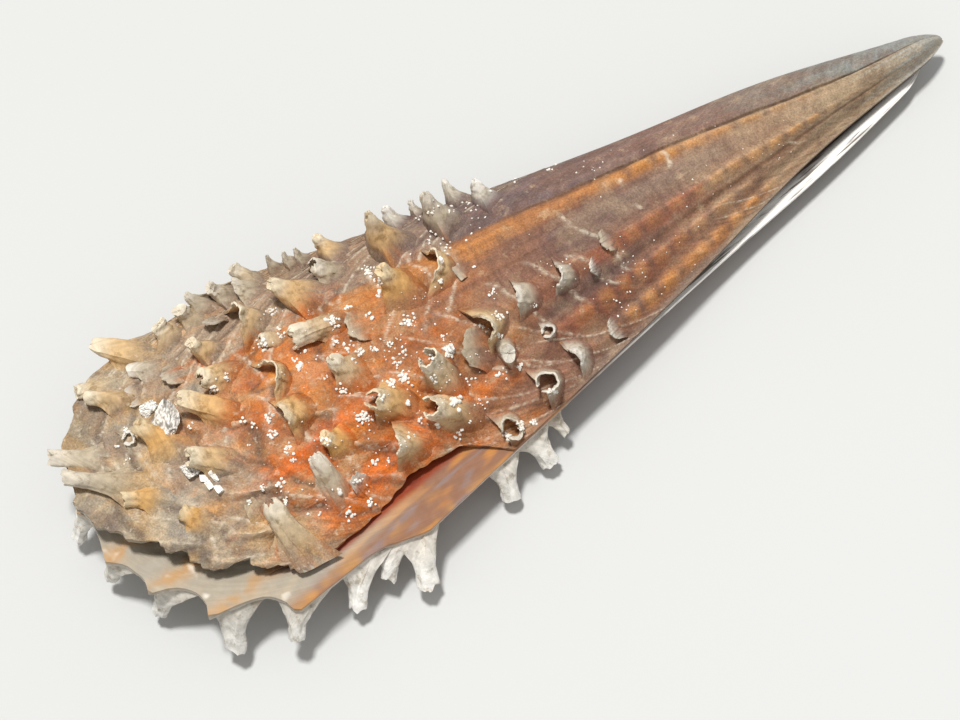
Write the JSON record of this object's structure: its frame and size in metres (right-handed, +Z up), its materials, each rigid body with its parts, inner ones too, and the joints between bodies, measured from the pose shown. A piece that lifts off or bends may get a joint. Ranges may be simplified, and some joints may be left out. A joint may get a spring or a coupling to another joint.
{
  "type": "pen shell",
  "caption": "Wedge-shaped spiny sea shell with both valves joined along a straight hinge edge, narrow at the tip and broad at the hind end, lying on one side.",
  "frame": {"origin": "middle of the bounding box, on the surface that the shell lies on", "axes": "+X along the shell towards its tip, +Y across it towards the hinge edge, +Z up through the upper valve"},
  "size_m": [0.2534, 0.0886, 0.0407],
  "materials": {
    "upper_shell": "worn satin shell, orange ribs, grey spines",
    "lower_shell": "worn satin shell, brown and grey",
    "horny_strip": "dark horny, dull"
  },
  "bodies": {
    "root": {"upper_valve": "upper_shell", "lower_valve": "lower_shell", "ligament": "horny_strip"}
  },
  "joints": []
}
